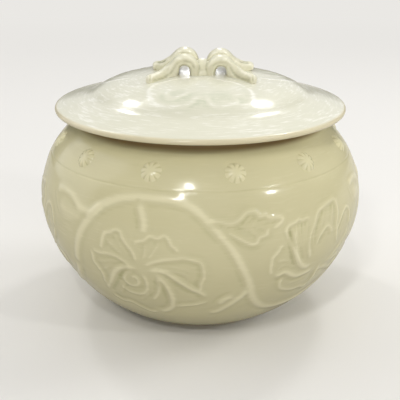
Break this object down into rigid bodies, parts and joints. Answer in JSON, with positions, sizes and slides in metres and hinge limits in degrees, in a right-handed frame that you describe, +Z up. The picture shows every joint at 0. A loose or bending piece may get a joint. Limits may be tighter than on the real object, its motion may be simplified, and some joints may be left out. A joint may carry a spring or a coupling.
{
  "type": "covered rice bowl",
  "caption": "Round-bellied glazed ceramic bowl with pressed florets round its shoulder, a foot ring and a drop-on domed lid with a ribbon-bow knob.",
  "frame": {"origin": "centre of the foot ring, on the plane the bowl stands on", "axes": "+Z up along the bowl's axis, -Y towards the knob's front, +X to the right seen from the front"},
  "size_m": [0.15, 0.15, 0.1214],
  "materials": {
    "bowl_glaze": "gloss celadon glaze over carved relief",
    "floret_glaze": "gloss celadon glaze",
    "foot_clay": "bare fired clay where it stands",
    "lid_glaze": "gloss pale celadon glaze",
    "knob_glaze": "gloss pale celadon glaze"
  },
  "bodies": {
    "bowl": {"bowl_body": "bowl_glaze", "foot_ring": "foot_clay", "floret_01": "floret_glaze", "floret_02": "floret_glaze", "floret_03": "floret_glaze", "floret_04": "floret_glaze", "floret_05": "floret_glaze", "floret_06": "floret_glaze", "floret_07": "floret_glaze", "floret_08": "floret_glaze", "floret_09": "floret_glaze", "floret_10": "floret_glaze", "floret_11": "floret_glaze", "floret_12": "floret_glaze"},
    "lid": {"lid_cover": "lid_glaze", "lid_collar": "lid_glaze", "knob_left_front_strand": "knob_glaze", "knob_left_rear_strand": "knob_glaze", "knob_right_front_strand": "knob_glaze", "knob_right_rear_strand": "knob_glaze", "knob_knot": "knob_glaze"}
  },
  "joints": [
    {"name": "lid_lift", "type": "slide", "parent": "bowl", "child": "lid", "axis": [0, 0, 1], "range_m": [0, 0.1]}
  ]
}
